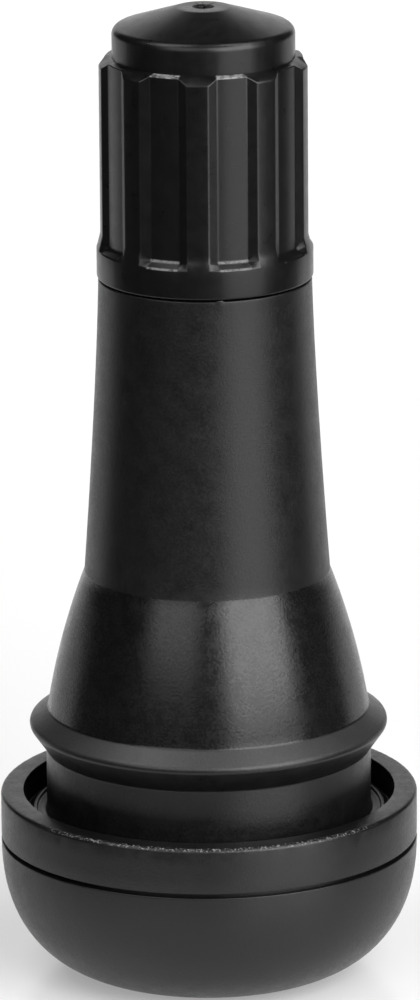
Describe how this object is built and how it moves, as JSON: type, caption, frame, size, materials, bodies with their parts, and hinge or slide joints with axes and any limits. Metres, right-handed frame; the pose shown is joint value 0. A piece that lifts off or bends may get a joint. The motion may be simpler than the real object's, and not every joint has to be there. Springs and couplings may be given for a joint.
{
  "type": "tyre valve",
  "caption": "Snap-in rubber tyre valve: bowl-shaped base, lip and flared sleeve moulded round a brass stem, with a sprung valve core and a ribbed screw cap.",
  "frame": {"origin": "centre of the flat underside of the base", "axes": "+Z along the valve's axis, from the base up to the cap; -Y towards the picture's camera"},
  "size_m": [0.019, 0.019, 0.0448],
  "materials": {
    "body_rubber": "moulded, satin on the flare and base, duller on the sleeve",
    "cap_plastic": "moulded, satin",
    "stem_brass": "machined",
    "core_brass": "machined",
    "core_steel": "drawn wire",
    "gasket_plastic": "smooth",
    "seal_rubber": "smooth"
  },
  "bodies": {
    "valve": {"rubber_body": "body_rubber", "brass_stem": "stem_brass", "core_plug": "core_brass", "core_barrel": "core_brass", "barrel_gasket": "gasket_plastic", "core_spring": "core_steel"},
    "pin": {"core_pin": "core_steel", "plunger_cup": "core_brass", "plunger_gasket": "seal_rubber"},
    "seal_ring": {"cap_seal": "seal_rubber"},
    "cap": {"cap_shell": "cap_plastic"}
  },
  "joints": [
    {"name": "cap_rise", "type": "slide", "parent": "valve", "child": "seal_ring", "axis": [0, 0, 1], "range_m": [0, 0.0099]},
    {"name": "cap_turn", "type": "hinge", "parent": "seal_ring", "child": "cap", "pos_m": [0, 0, 0.0325], "axis": [0, 0, 1], "range_deg": [0, 4500]},
    {"name": "pin_press", "type": "slide", "parent": "valve", "child": "pin", "axis": [0, 0, -1], "range_m": [0, 0.0014], "stiffness_N_per_m": 600, "springref_m": -0.002, "deforming": ["core_spring"]}
  ],
  "couplings": [
    {"joint": "cap_turn", "follows": "cap_rise", "rad_per_m": 7915.8}
  ]
}
